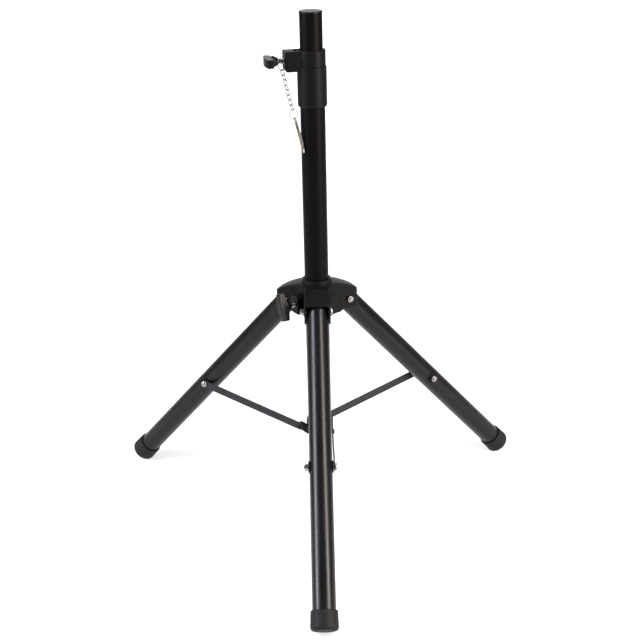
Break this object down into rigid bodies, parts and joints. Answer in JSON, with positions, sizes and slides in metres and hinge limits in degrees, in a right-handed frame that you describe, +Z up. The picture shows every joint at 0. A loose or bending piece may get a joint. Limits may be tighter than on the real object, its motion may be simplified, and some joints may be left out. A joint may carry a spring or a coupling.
{
  "type": "speaker tripod stand",
  "caption": "Folding tripod stand with a telescopic pole for a loudspeaker: sliding hub, hinged tube legs, flat braces, screw clamps and a chained safety pin.",
  "frame": {"origin": "centre of the footprint box on the floor, the lowest point of the three feet at z = 0", "axes": "+Z up along the mast, -Y towards the front leg, +X towards the right leg"},
  "size_m": [0.6956, 0.6082, 0.8457],
  "materials": {
    "powder_coated_steel": "semi-gloss black powder coat on steel tube and bar",
    "black_plastic": "fine-grained moulded black plastic",
    "foot_rubber": "matt dark grey moulded rubber",
    "bright_zinc": "bright zinc-plated steel",
    "bearing_plastic": "plain off-white slide plastic"
  },
  "bodies": {
    "mast": {"mast_tube": "powder_coated_steel", "mast_end_plug": "black_plastic", "pole_clamp": "black_plastic", "clamp_nut": "bright_zinc", "spreader_collar": "black_plastic", "collar_screw": "bright_zinc"},
    "pole": {"inner_pole": "powder_coated_steel", "pole_top_cap": "black_plastic", "pole_end_plug": "black_plastic"},
    "pole_knob": {"pole_knob_handle": "black_plastic", "pole_knob_screw": "bright_zinc", "pole_knob_shoe": "bearing_plastic"},
    "chain": {"chain_loop": "bright_zinc", "chain_link_1": "bright_zinc", "chain_link_2": "bright_zinc", "chain_link_3": "bright_zinc", "chain_link_4": "bright_zinc", "chain_link_5": "bright_zinc", "chain_link_6": "bright_zinc", "chain_link_7": "bright_zinc", "chain_link_8": "bright_zinc", "key_ring": "bright_zinc"},
    "safety_pin": {"safety_pin": "bright_zinc", "pin_spring_wire": "bright_zinc"},
    "hub": {"hub_body": "black_plastic", "hub_bush": "bearing_plastic", "hub_nut": "bright_zinc", "leg_pivot_bolt_front": "bright_zinc", "leg_pivot_bolt_right": "bright_zinc", "leg_pivot_bolt_left": "bright_zinc", "leg_pivot_nut_front": "bright_zinc", "leg_pivot_nut_right": "bright_zinc", "leg_pivot_nut_left": "bright_zinc"},
    "hub_knob": {"hub_knob_handle": "black_plastic", "hub_knob_screw": "bright_zinc", "hub_knob_shoe": "bearing_plastic"},
    "leg_front": {"leg_tube_front": "powder_coated_steel", "foot_cap_front": "foot_rubber", "brace_bolt_front": "bright_zinc", "brace_nut_front": "bright_zinc", "saddle_washer_outer_front": "black_plastic", "saddle_washer_inner_front": "black_plastic"},
    "brace_front": {"brace_bar_front": "powder_coated_steel", "brace_rivet_front": "black_plastic"},
    "leg_right": {"leg_tube_right": "powder_coated_steel", "foot_cap_right": "foot_rubber", "brace_bolt_right": "bright_zinc", "brace_nut_right": "bright_zinc", "saddle_washer_outer_right": "black_plastic", "saddle_washer_inner_right": "black_plastic"},
    "brace_right": {"brace_bar_right": "powder_coated_steel", "brace_rivet_right": "black_plastic"},
    "leg_left": {"leg_tube_left": "powder_coated_steel", "foot_cap_left": "foot_rubber", "brace_bolt_left": "bright_zinc", "brace_nut_left": "bright_zinc", "saddle_washer_outer_left": "black_plastic", "saddle_washer_inner_left": "black_plastic"},
    "brace_left": {"brace_bar_left": "powder_coated_steel", "brace_rivet_left": "black_plastic"}
  },
  "joints": [
    {"name": "hub_slide", "type": "slide", "parent": "mast", "child": "hub", "axis": [0, 0, 1], "range_m": [0, 0.20858]},
    {"name": "pole_slide", "type": "slide", "parent": "mast", "child": "pole", "axis": [0, 0, 1], "range_m": [0, 0.35]},
    {"name": "pole_knob_turn", "type": "hinge", "parent": "mast", "child": "pole_knob", "pos_m": [-0.0589, 0.08217, 0.77218], "axis": [-0.9816, -0.1908, 0], "range_deg": [0, 720]},
    {"name": "hub_knob_turn", "type": "hinge", "parent": "hub", "child": "hub_knob", "pos_m": [-0.05196, 0.06362, 0.38216], "axis": [-0.866, -0.5, 0], "range_deg": [0, 720]},
    {"name": "chain_swing", "type": "hinge", "parent": "mast", "child": "chain", "pos_m": [-0.04829, 0.08423, 0.77218], "axis": [0.1817, 0.9833, 0], "range_deg": [0, 16]},
    {"name": "pin_swing", "type": "hinge", "parent": "chain", "child": "safety_pin", "pos_m": [-0.02767, 0.08042, 0.68486], "axis": [0.1817, 0.9833, 0], "range_deg": [0, 60]},
    {"name": "leg_fold_front", "type": "hinge", "parent": "hub", "child": "leg_front", "pos_m": [0, 0.04512, 0.38066], "axis": [1, 0, 0], "range_deg": [0, 32.53]},
    {"name": "brace_fold_front", "type": "hinge", "parent": "leg_front", "child": "brace_front", "pos_m": [0, -0.12559, 0.19326], "axis": [1, 0, 0], "range_deg": [-91.71, 0]},
    {"name": "leg_fold_right", "type": "hinge", "parent": "hub", "child": "leg_right", "pos_m": [0.042, 0.11787, 0.38066], "axis": [-0.5, 0.866, 0], "range_deg": [0, 32.53]},
    {"name": "brace_fold_right", "type": "hinge", "parent": "leg_right", "child": "brace_right", "pos_m": [0.18984, 0.20322, 0.19326], "axis": [-0.5, 0.866, 0], "range_deg": [-91.71, 0]},
    {"name": "leg_fold_left", "type": "hinge", "parent": "hub", "child": "leg_left", "pos_m": [-0.042, 0.11787, 0.38066], "axis": [-0.5, -0.866, 0], "range_deg": [0, 32.53]},
    {"name": "brace_fold_left", "type": "hinge", "parent": "leg_left", "child": "brace_left", "pos_m": [-0.18984, 0.20322, 0.19326], "axis": [-0.5, -0.866, 0], "range_deg": [-91.71, 0]}
  ],
  "couplings": [
    {"joint": "leg_fold_front", "follows": "hub_slide", "rad_per_m": 2.7053},
    {"joint": "brace_fold_front", "follows": "hub_slide", "rad_per_m": -7.6572},
    {"joint": "leg_fold_right", "follows": "hub_slide", "rad_per_m": 2.7053},
    {"joint": "brace_fold_right", "follows": "hub_slide", "rad_per_m": -7.6572},
    {"joint": "leg_fold_left", "follows": "hub_slide", "rad_per_m": 2.7053},
    {"joint": "brace_fold_left", "follows": "hub_slide", "rad_per_m": -7.6572}
  ]
}
